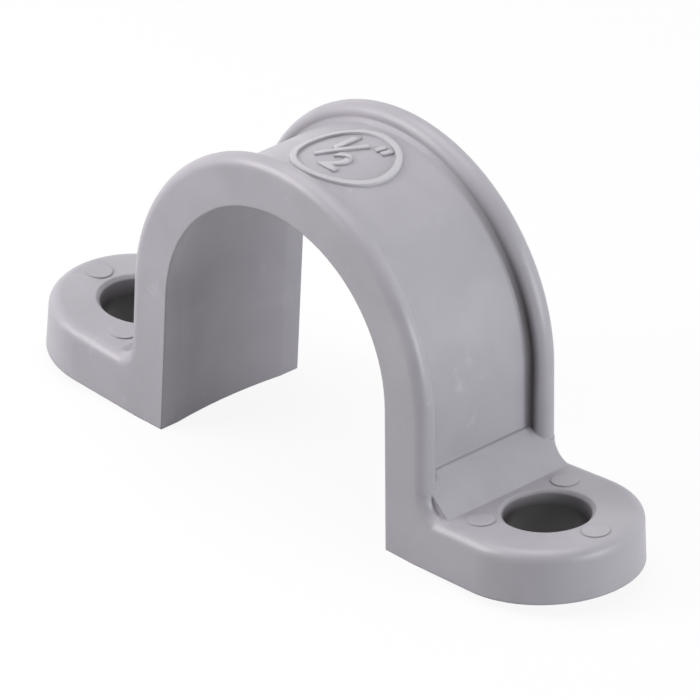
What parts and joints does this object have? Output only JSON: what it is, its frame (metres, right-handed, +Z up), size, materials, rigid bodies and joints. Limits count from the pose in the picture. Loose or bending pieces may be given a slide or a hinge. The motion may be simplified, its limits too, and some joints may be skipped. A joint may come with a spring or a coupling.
{
  "type": "two-hole pipe strap",
  "caption": "Grey plastic saddle strap for half-inch conduit: a channelled arch on two legs, each turned out into a thick rounded foot with a screw hole.",
  "frame": {"origin": "middle of the plane that the legs stand on, under the bore's axis and midway between the screw holes", "axes": "+X from one screw hole to the other, +Y along the conduit, +Z up from the wall through the crown"},
  "size_m": [0.0536, 0.0136, 0.0247],
  "materials": {
    "grey_pvc": "satin, lightly scuffed"
  },
  "bodies": {
    "root": {"pipe_strap": "grey_pvc"}
  },
  "joints": []
}
